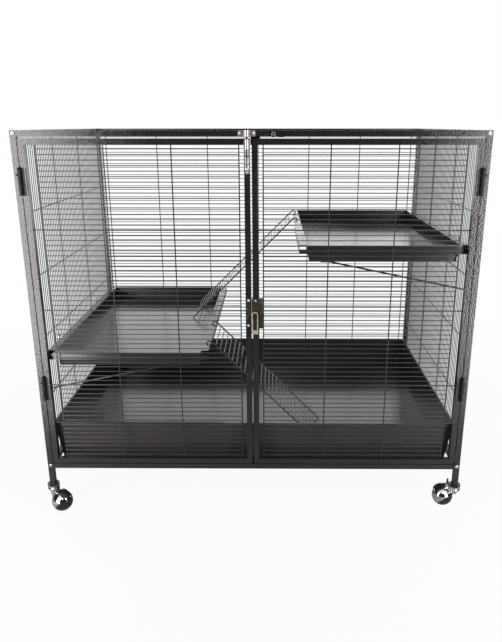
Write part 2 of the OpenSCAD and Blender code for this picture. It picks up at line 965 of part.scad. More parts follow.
// The leaf on the right door, with the lower knuckle
module door_leaf(z) {
    clear = barrel_d / 2 + 0.5;
    difference() {
        union() {
            translate([hinge_x, hinge_y, z - hinge_h / 2])
                cylinder(d = barrel_d, h = hinge_h / 2 - slide_gap, $fn = 48);
            translate([door_leaf_x0, face_y - leaf_t, z - hinge_h / 2])
                cube([hinge_x - clear - door_leaf_x0, leaf_t, hinge_h]);
            translate([door_leaf_x0, face_y - leaf_t, z - hinge_h / 2])
                cube([hinge_x - door_leaf_x0, leaf_t, hinge_h / 2 - slide_gap]);
        }
        pin_bore(z);
        for (s = [-leaf_screw_mid, -leaf_screw_low])
            translate([door_leaf_x, face_y - leaf_t - past, z + s])
                rotate([-90, 0, 0])
                    cylinder(d = small_screw[2] + 2 * screw_gap, h = leaf_t + 2 * past, $fn = 32);
    }
}

// A headed pin that stands in both knuckles
module hinge_pin(z) {
    translate([hinge_x, hinge_y, z + hinge_h / 2 + slide_gap])
        screw([6, 1.6, pin_d], hinge_h + slide_gap, "plain");
}

module hinge_post_leaves() {
    color(black)
        both_sides()
            for (z = hinge_zs)
                post_leaf(z);
}

module hinge_leaves_right() {
    color(black)
        for (z = hinge_zs)
            door_leaf(z);
}

module hinge_leaves_left() {
    color(black)
        mirror([1, 0, 0])
            for (z = hinge_zs)
                door_leaf(z);
}

module hinge_pins() {
    color(black)
        both_sides()
            for (z = hinge_zs)
                hinge_pin(z);
}

// ---- Screws ----

// Corner screws front and back, and the small screws on posts and top rail
module frame_screws() {
    color(steel) {
        for (x = [-mid_x, mid_x], z = corner_zs)
            for (side = [0, 180])
                rotate(side)
                    translate([x, face_y, z])
                        rotate([90, 0, 0])
                            screw(corner_screw, tube + corner_screw_in, "socket");
        small_screws([for (x = [-leaf_x, leaf_x], z = hinge_zs) [x, z + leaf_screw_up]], face_y - leaf_t);
        small_screws([for (x = keeper_screw_xs) [x, frame_h - tube / 2]],
            face_y - bolt_plate_t);
    }
}

module door_left_screws() {
    color(steel) {
        small_screws(mirrored(leaf_screws()), face_y - leaf_t);
        small_screws(bolt_screws, face_y - bolt_plate_t);
        small_screws(strap_screws, face_y - plate_t);
    }
}

module door_right_screws() {
    color(steel) {
        small_screws(leaf_screws(), face_y - leaf_t);
        small_screws(plate_screws, plate_y + plate_sink);
    }
}

// ---- Slide bolt ----

// The bolt's base plate and barrel on the left door's middle stile
module bolt_body() {
    color(chrome)
        difference() {
            union() {
                translate([bolt_x - bolt_w / 2, face_y - bolt_plate_t, bolt_top - bolt_h])
                    cube([bolt_w, bolt_plate_t, bolt_h]);
                translate([bolt_x, bolt_y, bolt_top - bolt_barrel_h])
                    cylinder(d = bolt_barrel_d, h = bolt_barrel_h, $fn = 64);
            }
            translate([bolt_x, bolt_y, bolt_top - bolt_barrel_h - past])
                cylinder(d = bolt_d + 2 * pin_gap, h = bolt_barrel_h + 2 * past, $fn = 64);
            translate([bolt_x - bolt_slot_w / 2, bolt_y - bolt_barrel_d, bolt_slot_z - bolt_slot_h / 2])
                cube([bolt_slot_w, bolt_barrel_d, bolt_slot_h]);
            for (p = bolt_screws)
                translate([p[0], face_y - bolt_plate_t - past, p[1]])
                    rotate([-90, 0, 0])
                        cylinder(d = small_screw[2] + 2 * screw_gap, h = bolt_plate_t + 2 * past, $fn = 32);
        }
}

// The rod with its knob, drawn back below the keeper
module bolt_rod() {
    color(chrome) {
        translate([bolt_x, bolt_y, bolt_tip - bolt_len])
            cylinder(d = bolt_d, h = bolt_len, $fn = 64);
        translate([bolt_x, bolt_y, knob_z])
            rotate([90, 0, 0])
                cylinder(d = knob_d, h = bolt_barrel_d / 2 + 4, $fn = 32);
        translate([bolt_x, bolt_y - bolt_barrel_d / 2 - 4, knob_z])
            sphere(d = 7, $fn = 32);
    }
}

// The keeper on the top rail: a plate with a hooped middle that takes the rod
module bolt_keeper() {
    tall = tube - 0.4;
    color(chrome)
        difference() {
            union() {
                translate([bolt_x - keeper_w / 2, face_y - bolt_plate_t, top_z])
                    cube([keeper_w, bolt_plate_t, tall]);
                translate([bolt_x, bolt_y, top_z])
                    cylinder(d = bolt_barrel_d + 1, h = tall, $fn = 64);
            }
            translate([bolt_x - keeper_w, face_y, top_z - past])
                cube([2 * keeper_w, tube, tall + 2 * past]);
            translate([bolt_x, bolt_y, top_z - past])
                cylinder(d = bolt_d + 2 * keeper_play, h = tall + 2 * past, $fn = 64);
            for (x = keeper_screw_xs)
                translate([x, face_y - bolt_plate_t - past, frame_h - tube / 2])
                    rotate([-90, 0, 0])
                        cylinder(d = small_screw[2] + 2 * screw_gap, h = bolt_plate_t + 2 * past, $fn = 32);
        }
}

// ---- Turn button ----

// A pear-shaped tab, turned aside along the top rail
module turn_button() {
    tip = button_w / 2 - 0.4;
    waist = button_w / 2 - 1.9;
    color(black)
        translate([button_x, face_y - gap, button_z])
            rotate([90, 0, 0])
                difference() {
                    linear_extrude(button_t)
                        union() {
                            circle(d = button_w - 2, $fn = 48);
                            polygon([[0, -waist], [button_len - tip, 0.6 - tip],
                                [button_len - tip, tip - 0.6], [0, waist]]);
                            translate([button_len - tip, 0])
                                circle(r = tip, $fn = 48);
                        }
                    translate([0, 0, -past])
                        cylinder(d = button_pin_d + 2 * pin_gap, h = button_t + 2 * past, $fn = 48);
                }
}

// The shouldered screw that the button turns on
module turn_button_screw() {
    seat = gap + button_t + gap;
    head = 4.4;
    rim = seat + 0.8;
    foot = -tube_wall - small_screw_in;
    color(steel)
        translate([button_x, face_y, button_z])
            rotate([90, 0, 0])
                difference() {
                    rotate_extrude($fn = 48)
                        polygon([[0, foot], [small_screw[2] / 2, foot], [small_screw[2] / 2, 0],
                            [button_pin_d / 2, 0], [button_pin_d / 2, seat], [head, seat], [head, rim],
                            [cross_long * head, seat + 2], [0, seat + 2]]);
                    cross_cut(head, rim);
                }
}

// ---- Centre lock ----

// A shallow case on the right door, open towards the left door
module lock_plate() {
    deep = face_y - plate_y;
    color(black)
        difference() {
            translate([plate_x0, plate_y, plate_z0])
                cube([lock_w, deep, lock_h]);
            translate([plate_x0 - past, plate_y + plate_t, plate_z0 + strap_foot - 1])
                cube([lock_w - plate_t + past, deep, lock_h - 2 * strap_foot + 2]);
            translate([plate_x0 - past, face_y - gap, plate_z0 - past])
                cube([door_x0 - plate_x0 + past, deep, lock_h + 2 * past]);
            translate([lever_x, plate_y - past, lever_z])
                rotate([-90, 0, 0])
                    cylinder(d = spindle_d + 2 * pin_gap, h = plate_t + 2 * past, $fn = 48);
            for (p = plate_screws)
                translate([p[0], plate_y - past, p[1]])
                    rotate([-90, 0, 0]) {
                        cylinder(d = small_screw[2] + 2 * screw_gap, h = deep + 2 * past, $fn = 32);
                        cylinder(d = small_screw[0] + 2 * gap, h = past + plate_sink, $fn = 32);
                    }
        }
}

// The hanging lever, an upside-down U in outline, on its spindle
module lock_lever() {
    front = plate_y - gap;
    rim_w = 2;
    color(chrome)
        translate([lever_x, front, lever_z]) {
            rotate([90, 0, 0])
                difference() {
                    linear_extrude(lever_t)
                        lever_outline(lever_w / 2, lever_h - lever_w / 2);
                    translate([0, 0, lever_t - 1])
                        linear_extrude(2)
                            lever_outline(lever_w / 2 - rim_w, lever_h - lever_w / 2 - rim_w);
                }
            rotate([-90, 0, 0])
                translate([0, 0, -past]) {
                    cylinder(d = spindle_d, h = past + gap + plate_t + gap / 2, $fn = 48);
                    translate([-square_d / 2, -square_d / 2, 0])
                        cube([square_d, square_d, past + gap + plate_t + gap + tongue_t]);
                }
        }
}

// A half round over straight sides that run down by down
module lever_outline(r, down) {
    intersection() {
        circle(r = r, $fn = 64);
        translate([-r, 0])
            square([2 * r, r]);
    }
    translate([-r, -down])
        square([2 * r, down]);
}

// The tongue behind the plate, upright when the lock is open
module lock_tongue() {
    color(steel)
        translate([lever_x, face_y - gap, lever_z])
            rotate([90, 0, 0])
                difference() {
                    linear_extrude(tongue_t)
                        union() {
                            circle(d = tongue_w, $fn = 48);
                            translate([-tongue_w / 2 + 0.5, 0])
                                square([tongue_w - 1, tongue_len]);
                        }
                    translate([-square_d / 2 - screw_gap, -square_d / 2 - screw_gap, -past])
                        cube([square_d + 2 * screw_gap, square_d + 2 * screw_gap, tongue_t + 2 * past]);
                }
}

// A strap on the left door's middle stile, raised where the tongue goes in
module lock_keeper() {
    wide = strap_x1 - strap_x0;
    raise = gap + tongue_t + gap;
    color(black)
        difference() {
            union() {
                translate([strap_x0, face_y - plate_t, plate_z0])
                    cube([wide, plate_t, lock_h]);
                translate([strap_x0, face_y - raise - plate_t, bridge_z0 - plate_t])
                    cube([wide, raise + plate_t, bridge_z1 - bridge_z0 + 2 * plate_t]);
            }
            translate([strap_x0 - past, face_y - raise, bridge_z0])
                cube([wide + 2 * past, raise + past, bridge_z1 - bridge_z0]);
            for (p = strap_screws)
                translate([p[0], face_y - plate_t - past, p[1]])
                    rotate([-90, 0, 0])
                        cylinder(d = small_screw[2] + 2 * screw_gap, h = plate_t + 2 * past, $fn = 32);
        }
}

// ---- Casters ----

// Each caster's leg, its turn about the stem, and the way its wheel faces: 1 is
// away from the stem and -1 is towards it, so that a pair suits left and right
caster_fl = [-mid_x, -mid_y, left_turn, 1];
caster_fr = [mid_x, -mid_y, right_turn, -1];
caster_rr = [mid_x, mid_y, left_turn + 180, 1];
caster_rl = [-mid_x, mid_y, right_turn + 180, -1];

module at_leg(c) {
    translate([c[0], c[1], 0])
        rotate(c[2])
            children();
}

// The frame of a ball: its middle at the origin and its axle along +Z
module at_ball(way) {
    translate([swivel_offset, 0, ball_r])
        rotate([0, way * (90 + axle_tilt), 0])
            children();
}

// Plugs in the legs' lower ends, flanged and bored for the stems
module caster_sockets() {
    inner = tube - 2 * tube_wall - 2 * screw_gap;
    color(chrome)
        for (x = [-mid_x, mid_x], y = [-mid_y, mid_y])
            translate([x, y, 0])
                difference() {
                    union() {
                        translate([0, 0, leg_z - flange_t])
                            cylinder(d = swivel_d, h = flange_t, $fn = 64);
                        translate([-inner / 2, -inner / 2, leg_z - past])
                            cube([inner, inner, plug_in + past]);
                    }
                    translate([0, 0, leg_z - flange_t - past])
                        cylinder(d = stem_d + 2 * pin_gap, h = flange_t + plug_in + 2 * past, $fn = 64);
                }
}

// The stem, the grooved swivel head and the neck down to z = low, as one turned
// profile
module swivel(low) {
    r = swivel_d / 2;
    groove = (head_low + head_top) / 2;
    top = leg_z + stem_in;
    rotate_extrude($fn = 64)
        polygon([[0, low], [6.5, low], [10.5, head_low], [r - 0.6, head_low],
            [r, head_low + 0.8], [r, groove - 1.6], [r - 1.6, groove], [r, groove + 1.6],
            [r, head_top], [stem_d / 2, head_top], [stem_d / 2, top], [0, top]]);
}

// A web from the neck to the crown of a hood that opens towards the stem
module crown_web(low) {
    thick = 10;
    middle = ball_r - shell_t / 2;
    translate([0, thick / 2, 0])
        rotate([90, 0, 0])
            linear_extrude(thick)
                polygon(concat(
                    [[swivel_d / 2 - 1, head_low + 1], [3, head_low + 1], [3, low + 1]],
                    [for (a = [35, 58, 70]) [swivel_offset - middle * cos(a), ball_r + middle * sin(a)]]));
}

// The shell over a ball, with the axle that the wheel turns on
module hood_shell(way) {
    edge = hood_in - edge_gap;
    at_ball(way) {
        difference() {
            sphere(r = ball_r, $fn = 64);
            sphere(r = ball_r - shell_t, $fn = 64);
            translate([-ball_d, -ball_d, edge])
                cube([2 * ball_d, 2 * ball_d, 2 * ball_d]);
        }
        translate([0, 0, -ball_r + shell_t / 2])
            cylinder(d = axle_d + 5, h = ball_r - shell_t / 2 + edge, $fn = 48);
        translate([0, 0, -ball_r + shell_t])
            cylinder(d = axle_d, h = ball_r - shell_t + hood_in + axle_in, $fn = 48);
    }
}

// Where the brake lever's pivot sits, in the caster's own frame
brake_u = 18.2;
brake_z = 56.5;
brake_pin_d = 3;
brake_lug_t = 3;
brake_lift = 2;

// A hood; the front ones carry the brake's lug and pin
module caster_hood(way, brake) {
    low = way > 0 ? ball_r + 1 : ball_r + 15;
    swivel(low);
    hood_shell(way);
    if (way < 0)
        crown_web(low);
    if (brake) {
        translate([0, brake_lug_t / 2, 0])
            rotate([90, 0, 0])
                linear_extrude(brake_lug_t)
                    polygon([[9, head_low + 2], [9, head_top - 2], [brake_u + 2.6, brake_z + 2.6],
                        [brake_u + 2.6, ball_r + 20], [swivel_offset / 2, ball_r + 20]]);
        translate([brake_u, 0, brake_z])
            rotate([90, 0, 0])
                cylinder(d = brake_pin_d, h = brake_lug_t / 2 + 5, $fn = 32);
    }
}

// The wheel, the part of a ball below the hood's edge, bored for the axle
module caster_ball(way) {
    face = hood_in + edge_gap;
    at_ball(way)
        difference() {
            sphere(r = ball_r, $fn = 64);
            translate([-ball_d, -ball_d, face - 2 * ball_d])
                cube([2 * ball_d, 2 * ball_d, 2 * ball_d]);
            translate([0, 0, face - past])
                cylinder(d = axle_d + 2 * pin_gap, h = axle_in + gap - edge_gap + past, $fn = 48);
        }
}

// A brake lever: a boss beside the lug with a tab above it, and a domed cover
// whose far end comes down on the hood
module brake_lever() {
    thick = 4;
    shoe_t = 1.8;
    shoe_w = 22;
    far = 4 * ball_r;
    top = ball_r + brake_lift + shoe_t;
    shoe_z = ball_r + top - brake_z;
    translate([brake_u, -brake_lug_t / 2 - gap, brake_z])
        rotate([90, 0, 0])
            difference() {
                linear_extrude(thick)
                    union() {
                        circle(d = 7, $fn = 48);
                        polygon([[-2.6, 1], [3, 0.8], [2.6, 15], [-0.4, 15]]);
                        polygon([[0, -2.8], [6, shoe_z - shoe_t / 2], [12, shoe_z - shoe_t / 2],
                            [12, shoe_z + 0.4], [0, 2.8]]);
                    }
                translate([0, 0, -past])
                    cylinder(d = brake_pin_d + 2 * pin_gap, h = thick + 2 * past, $fn = 32);
            }
    translate([swivel_offset, 0, ball_r])
        intersection() {
            difference() {
                sphere(r = top, $fn = 64);
                sphere(r = top - shoe_t, $fn = 64);
            }
            translate([0, shoe_w / 2, 0])
                rotate([90, 0, 0])
                    linear_extrude(shoe_w)
                        polygon([[0, 0], [far * cos(38), far * sin(38)], [far, far],
                            [far * cos(100), far * sin(100)]]);
        }
}

module caster_hood_front_left() {
    color(chrome)
        at_leg(caster_fl)
            caster_hood(caster_fl[3], true);
}

module caster_hood_front_right() {
    color(chrome)
        at_leg(caster_fr)
            caster_hood(caster_fr[3], true);
}

module caster_hood_rear_left() {
    color(chrome)
        at_leg(caster_rl)
            caster_hood(caster_rl[3], false);
}

module caster_hood_rear_right() {
    color(chrome)
        at_leg(caster_rr)
            caster_hood(caster_rr[3], false);
}

module caster_ball_front_left() {
    color(black)
        at_leg(caster_fl)
            caster_ball(caster_fl[3]);
}

module caster_ball_front_right() {
    color(black)
        at_leg(caster_fr)
            caster_ball(caster_fr[3]);
}

module caster_ball_rear_left() {
    color(black)
        at_leg(caster_rl)
            caster_ball(caster_rl[3]);
}

module caster_ball_rear_right() {
    color(black)
        at_leg(caster_rr)
            caster_ball(caster_rr[3]);
}

module brake_front_left() {
    color(black)
        at_leg(caster_fl)
            brake_lever();
}

module brake_front_right() {
    color(black)
        at_leg(caster_fr)
            brake_lever();
}

post_front_left();
post_front_right();
post_rear_left();
post_rear_right();
rail_top_front();
rail_top_rear();
rail_top_left();
rail_top_right();
rail_bottom_front();
rail_bottom_rear();
rail_bottom_left();
rail_bottom_right();
tray_crossbars();
mesh_back();
mesh_left();
mesh_right();
mesh_top();
door_stop();
tray();
shelf_upper();
shelf_lower();
shelf_lugs();
shelf_braces();
shelf_bolts();
ladder_upper();
ladder_lower();
door_left_stiles();
door_left_rails();
door_left_mesh();
door_right_stiles();
door_right_rails();
door_right_mesh();
hinge_post_leaves();
hinge_leaves_left();
hinge_leaves_right();
hinge_pins();
frame_screws();
door_left_screws();
door_right_screws();
bolt_body();
bolt_rod();
bolt_keeper();
turn_button();
turn_button_screw();
lock_plate();
lock_lever();
lock_tongue();
lock_keeper();
caster_sockets();
caster_hood_front_left();
caster_hood_front_right();
caster_hood_rear_left();
caster_hood_rear_right();
caster_ball_front_left();
caster_ball_front_right();
caster_ball_rear_left();
caster_ball_rear_right();
brake_front_left();
brake_front_right();
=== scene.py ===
import json
import math

import bmesh
import bpy
from mathutils import Matrix, Vector


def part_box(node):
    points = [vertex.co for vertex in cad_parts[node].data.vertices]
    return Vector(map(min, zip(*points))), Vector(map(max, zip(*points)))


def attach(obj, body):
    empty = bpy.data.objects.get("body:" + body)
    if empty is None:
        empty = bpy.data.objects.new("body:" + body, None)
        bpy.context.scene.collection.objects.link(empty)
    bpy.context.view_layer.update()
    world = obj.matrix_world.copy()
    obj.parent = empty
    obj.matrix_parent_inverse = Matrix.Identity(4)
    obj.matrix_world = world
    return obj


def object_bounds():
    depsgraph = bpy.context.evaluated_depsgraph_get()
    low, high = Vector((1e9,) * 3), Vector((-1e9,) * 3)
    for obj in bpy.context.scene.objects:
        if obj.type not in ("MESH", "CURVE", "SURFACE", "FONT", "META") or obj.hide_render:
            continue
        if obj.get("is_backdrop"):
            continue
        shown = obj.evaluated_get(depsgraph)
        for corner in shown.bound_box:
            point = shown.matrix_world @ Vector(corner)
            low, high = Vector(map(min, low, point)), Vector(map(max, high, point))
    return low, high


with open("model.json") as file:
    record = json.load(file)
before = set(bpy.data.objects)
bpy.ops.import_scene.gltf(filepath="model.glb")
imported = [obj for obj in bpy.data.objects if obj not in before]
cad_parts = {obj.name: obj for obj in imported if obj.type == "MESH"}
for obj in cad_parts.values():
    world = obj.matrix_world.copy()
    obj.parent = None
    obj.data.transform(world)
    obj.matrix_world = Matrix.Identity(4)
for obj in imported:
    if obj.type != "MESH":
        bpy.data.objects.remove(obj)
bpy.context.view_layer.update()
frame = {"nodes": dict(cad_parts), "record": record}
nodes = frame["nodes"]


# A socket that takes Python's operators: each one adds a Math node
class Signal:
    def __init__(self, graph, socket):
        self.graph = graph
        self.socket = socket

    def maths(self, operation, *values):
        return self.graph.add("ShaderNodeMath", {"operation": operation}, dict(enumerate(values)))

    def __add__(self, other):
        return self.maths("ADD", self, other)

    def __radd__(self, other):
        return self.maths("ADD", other, self)

    def __sub__(self, other):
        return self.maths("SUBTRACT", self, other)

    def __rsub__(self, other):
        return self.maths("SUBTRACT", other, self)

    def __mul__(self, other):
        return self.maths("MULTIPLY", self, other)

    def __rmul__(self, other):
        return self.maths("MULTIPLY", other, self)

    def __abs__(self):
        return self.maths("ABSOLUTE", self)

    def atMost(self, limit):
        return self.maths("MINIMUM", self, limit)

    # 1 where the value lies within reach of the middle, and 0 elsewhere
    def near(self, middle, reach):
        return self.maths("COMPARE", self, middle, reach)


# One material's or world's node tree
class Graph:
    def __init__(self, owner):
        owner.use_nodes = True
        self.owner = owner
        self.tree = owner.node_tree
        self.tree.nodes.clear()

    def feed(self, socket, value):
        if isinstance(value, Signal):
            self.tree.links.new(value.socket, socket)
        else:
            socket.default_value = value

    # Settings are set first, then the sockets take their values or links
    def add(self, kind, settings=None, sockets=None, output=0):
        node = self.tree.nodes.new(kind)
        for name, value in (settings or {}).items():
            setattr(node, name, value)
        for name, value in (sockets or {}).items():
            self.feed(node.inputs[name], value)
        if output is None or not node.outputs:
            return node
        return Signal(self, node.outputs[output])

    def place(self):
        return self.add("ShaderNodeTexCoord", output="Object")

    def axis(self, name):
        return self.add("ShaderNodeSeparateXYZ", {}, {"Vector": self.place()}, name)

    # 1 for a ray of this kind: Camera, Glossy or Transmission
    def ray(self, kind):
        return self.add("ShaderNodeLightPath", output=f"Is {kind} Ray")

    def noise(self, scale, detail, roughness=0.5):
        return self.add("ShaderNodeTexNoise", {}, {
            "Vector": self.place(), "Scale": scale, "Detail": detail,
            "Roughness": roughness}, "Fac")

    def blend(self, factor, first, second):
        return self.add("ShaderNodeMix", {"data_type": "RGBA"}, {0: factor, 6: first, 7: second}, 2)

    def clamp(self, value, low, high):
        return self.add("ShaderNodeMapRange", {"clamp": True}, {
            "Value": value, "From Min": low, "From Max": high, "To Min": 0.0, "To Max": 1.0})

    def bump(self, height, strength, distance):
        return self.add("ShaderNodeBump", {}, {
            "Height": height, "Strength": strength, "Distance": distance})

    def shader(self, **sockets):
        return self.add("ShaderNodeBsdfPrincipled", {}, {
            name.replace("_", " "): value for name, value in sockets.items()})

    def surface(self, shader):
        self.add("ShaderNodeOutputMaterial", {}, {"Surface": shader})
        return self.owner


def newMaterial(name):
    return Graph(bpy.data.materials.new(name))


# A grey whose red is raised and whose blue is lowered by its warmth
def grey(value, warm=0.0):
    return (value * (1 + warm), value, value * (1 - warm), 1.0)


hammered = {"dark": 0.006, "light": 0.016, "warm": 0.09, "cell": 0.0030, "smoothness": 0.6,
            "wobble": 2.6, "wobbleDetail": 1.0, "stir": 0.35, "ring": (0.28, 0.85),
            "depth": 0.00040, "strength": 0.65, "roughness": (0.13, 0.22),
            "clouds": {"scale": 9.0, "detail": 3.0}, "cloudRange": (0.35, 0.65),
            "drift": 0.3, "dimpleShare": 0.8, "lift": 0.1}


# Hammered powder coat: dimples ringed by darker veins
def hammeredShader(g, look):
    wobble = g.noise(1 / look["cell"] / look["wobble"], look["wobbleDetail"])
    cells = g.add("ShaderNodeTexVoronoi", {"feature": "SMOOTH_F1"}, {
        "Vector": g.place(), "Scale": 1 / look["cell"], "Smoothness": look["smoothness"],
        "Randomness": 1.0}, "Distance")
    dimple = g.clamp(cells + wobble * look["stir"], *look["ring"])
    cloud = g.clamp(g.noise(**look["clouds"]), *look["cloudRange"])
    tone = dimple * look["dimpleShare"] + cloud * look["drift"] - look["lift"]
    low, high = look["roughness"]
    light, dark = grey(look["light"], look["warm"]), grey(look["dark"], look["warm"])
    return g.shader(
        Base_Color=g.blend(tone, light, dark),
        Roughness=dimple * (high - low) + low,
        Normal=g.bump(1 - dimple, look["strength"], look["depth"]))


def hammeredCoat(name, look):
    g = newMaterial(name)
    return g.surface(hammeredShader(g, look))


wireLook = {**hammered, "light": 0.018, "dark": 0.010, "warm": -0.04, "cell": 0.0018,
            "depth": 0.00008, "strength": 0.3, "roughness": (0.28, 0.38)}
enamel = {"tone": 0.014, "spread": 0.004, "warm": 0.03, "roughness": (0.17, 0.22),
          "clouds": {"scale": 5.0, "detail": 2.0}, "cloudRange": (0.3, 0.7), "peel": 0.006,
          "peelDetail": 1.0, "strength": 0.2, "depth": 0.00003, "ior": 1.5, "tint": (0.96, 0.94, 1.0, 1.0)}
trayLook = {**enamel, "tone": 0.021, "warm": 0.10}


# Smooth black enamel with orange peel, a little cloudy
def blackEnamel(name, look):
    g = newMaterial(name)
    peel = g.noise(1 / look["peel"], look["peelDetail"])
    cloud = g.clamp(g.noise(**look["clouds"]), *look["cloudRange"])
    low, high = look["roughness"]
    tone, warm = look["tone"], look["warm"]
    return g.surface(g.shader(
        Base_Color=g.blend(cloud, grey(tone, warm), grey(tone + look["spread"], warm)),
        Roughness=cloud * (high - low) + low,
        IOR=look["ior"],
        Specular_Tint=look["tint"],
        Normal=g.bump(peel, look["strength"], look["depth"])))


polish = {"clouds": {"scale": 90.0, "detail": 5.0}, "cloudRange": (0.3, 0.75), "warm": 0.0,
          "marks": {"scale": 900.0, "detail": 3.0, "roughness": 0.7}, "markShare": 0.03,
          "markStrength": 0.12, "markDepth": 0.00003}
plating = {**polish, "tone": 0.66, "stain": 0.42, "roughness": (0.05, 0.14)}
zinc = {**polish, "tone": 0.74, "stain": 0.58, "roughness": (0.32, 0.44)}
dullZinc = {**polish, "tone": 0.20, "stain": 0.09, "roughness": (0.34, 0.46)}
nickel = {**polish, "tone": 0.56, "stain": 0.36, "warm": 0.05, "roughness": (0.30, 0.42)}
rodSteel = {**polish, "tone": 0.12, "stain": 0.06, "warm": 0.10, "roughness": (0.24, 0.36)}


# Bright plate with faint clouds and polishing marks
def brightPlate(name, look):
    g = newMaterial(name)
    cloud = g.clamp(g.noise(**look["clouds"]), *look["cloudRange"])
    marks = g.noise(**look["marks"])
    low, high = look["roughness"]
    warm = look["warm"]
    return g.surface(g.shader(
        Base_Color=g.blend(cloud, grey(look["tone"], warm), grey(look["stain"], warm)),
        Metallic=1.0,
        Roughness=cloud * (high - low) + low + marks * look["markShare"],
        Normal=g.bump(marks, look["markStrength"], look["markDepth"])))


# head is how far a corner screw's middle lies from its outer edges, hingeSide where the locks end, bright
# the lock screws' lighter tone, a painted highlight, and shade the painted shade in the corner screws'
# sockets
screwLook = {**zinc, "tone": 0.52, "stain": 0.40, "bright": 0.92, "roughness": (0.38, 0.50),
             "head": 0.0045, "socket": 0.0020, "shade": 0.01, "hingeSide": 0.45,
             "paintRoughness": 0.12}


# Middle and half height of the lower and of the upper hinges
def hingeZones():
    heights = [corner.co.z for corner in nodes["hinge_leaves_left"].data.vertices]
    middle = (min(heights) + max(heights)) / 2
    parts = [[z for z in heights if z < middle], [z for z in heights if z > middle]]
    return [((min(part) + max(part)) / 2, (max(part) - min(part)) / 2) for part in parts]


# Bright screws, black-painted at the hinges, brightest on the locks through a painted highlight, with
# painted shade in the corner screws' sockets
def screwPlate(name, look, paint):
    g = newMaterial(name)
    across, height = g.axis("X"), g.axis("Z")
    lower, upper = (height.near(middle, reach) for middle, reach in hingeZones())
    onLocks = across.near(0.0, look["hingeSide"])
    painted = (lower + upper) * (1 - onLocks)
    low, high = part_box("frame_screws")
    # Painted shade: a dark, non-metal spot on each corner screw's head where a socket would hold shade
    aside = abs(across) - (high[0] - look["head"])
    socketShades = []
    for level in (low[2] + look["head"], high[2] - look["head"]):
        rise = height - level
        socketShades.append((aside * aside + rise * rise).near(0.0, look["socket"] ** 2))
    socketShade = socketShades[0] + socketShades[1]
    cloud = g.clamp(g.noise(**look["clouds"]), *look["cloudRange"])
    worn = g.blend(cloud, grey(look["tone"]), grey(look["stain"]))
    # A painted highlight: the same zinc screws take the lighter bright tone on the locks
    plate = g.blend(onLocks, worn, grey(look["bright"]))
    covered = g.blend(painted, plate, grey(paint["tone"]))
    smooth, rough = look["roughness"]
    return g.surface(g.shader(
        Base_Color=g.blend(socketShade, covered, grey(look["shade"])),
        Metallic=(1 - painted) * (1 - socketShade),
        Roughness=cloud * (rough - smooth) + smooth + painted * look["paintRoughness"]))


blackPaint = {"tone": 0.005, "light": 0.011, "warm": 0.02, "roughness": (0.34, 0.48), "ior": 1.26,
              "clouds": {"scale": 70.0, "detail": 4.0}, "cloudRange": (0.35, 0.7),
              "grain": 0.0012, "grainDetail": 3.0, "strength": 0.3, "depth": 0.00006}
moulded = {**blackPaint, "light": 0.009, "roughness": (0.24, 0.34), "ior": 1.40}
ballLook = {**blackPaint, "light": 0.008, "roughness": (0.16, 0.26), "ior": 1.45}


# Thin black paint over a stamped or moulded part
def satinShader(g, look):
    grain = g.noise(1 / look["grain"], look["grainDetail"])
    cloud = g.clamp(g.noise(**look["clouds"]), *look["cloudRange"])
    low, high = look["roughness"]
    return g.shader(
        Base_Color=g.blend(cloud, grey(look["tone"]), grey(look["light"], look["warm"])),
        Roughness=cloud * (high - low) + low,
        IOR=look["ior"],
        Normal=g.bump(grain, look["strength"], look["depth"]))


def satinBlack(name, look):
    g = newMaterial(name)
    return g.surface(satinShader(g, look))


# How far the bare black paint reaches to each side of the hinge pin
hingeLook = {"postSide": 0.0042, "doorSide": 0.0100}


# Hinges: black at the knuckles and on the door leaf, under the frame's coat beyond
def hingeFinish(name, look, paint, coating):
    g = newMaterial(name)
    low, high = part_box("hinge_pins")
    pinRadius = (high[1] - low[1]) / 2
    axis = high[0] - pinRadius
    inner, outer = axis - look["doorSide"], axis + look["postSide"]
    black = abs(g.axis("X")).near((inner + outer) / 2, (outer - inner) / 2)
    return g.surface(g.add("ShaderNodeMixShader", {}, {
        0: black, 1: hammeredShader(g, coating), 2: satinShader(g, paint)}))


antique = {"dark": (0.024, 0.022, 0.013, 1.0), "rubbed": (0.22, 0.21, 0.16, 1.0),
           "roughness": (0.28, 0.46), "rub": {"scale": 120.0, "detail": 6.0, "roughness": 0.65},
           "rubRange": (0.55, 0.72), "metal": 0.5, "fine": {"scale": 700.0, "detail": 3.0},
           "strength": 0.25, "depth": 0.00004}


# Dark olive plate, rubbed bright in patches
def antiquePlate(name, look):
    g = newMaterial(name)
    rub = g.clamp(g.noise(**look["rub"]), *look["rubRange"])
    low, high = look["roughness"]
    return g.surface(g.shader(
        Base_Color=g.blend(rub, look["dark"], look["rubbed"]),
        Metallic=rub * (1 - look["metal"]) + look["metal"],
        Roughness=(1 - rub) * (high - low) + low,
        Normal=g.bump(g.noise(**look["fine"]), look["strength"], look["depth"])))


leverLook = {"rim": 0.0012, "sunk": 0.001, "tail": 0.009, "bowl": 0.016, "neck": 0.0014,
             "bright": 0.46, "warm": 0.02, "wornWarm": 0.06, "metal": 0.35,
             "dark": 0.010, "darkWarm": 0.2, "darkRoughness": 0.2, "roughness": (0.2, 0.36),
             "wear": {"scale": 260.0, "detail": 4.0}, "wearRange": (0.35, 0.7)}


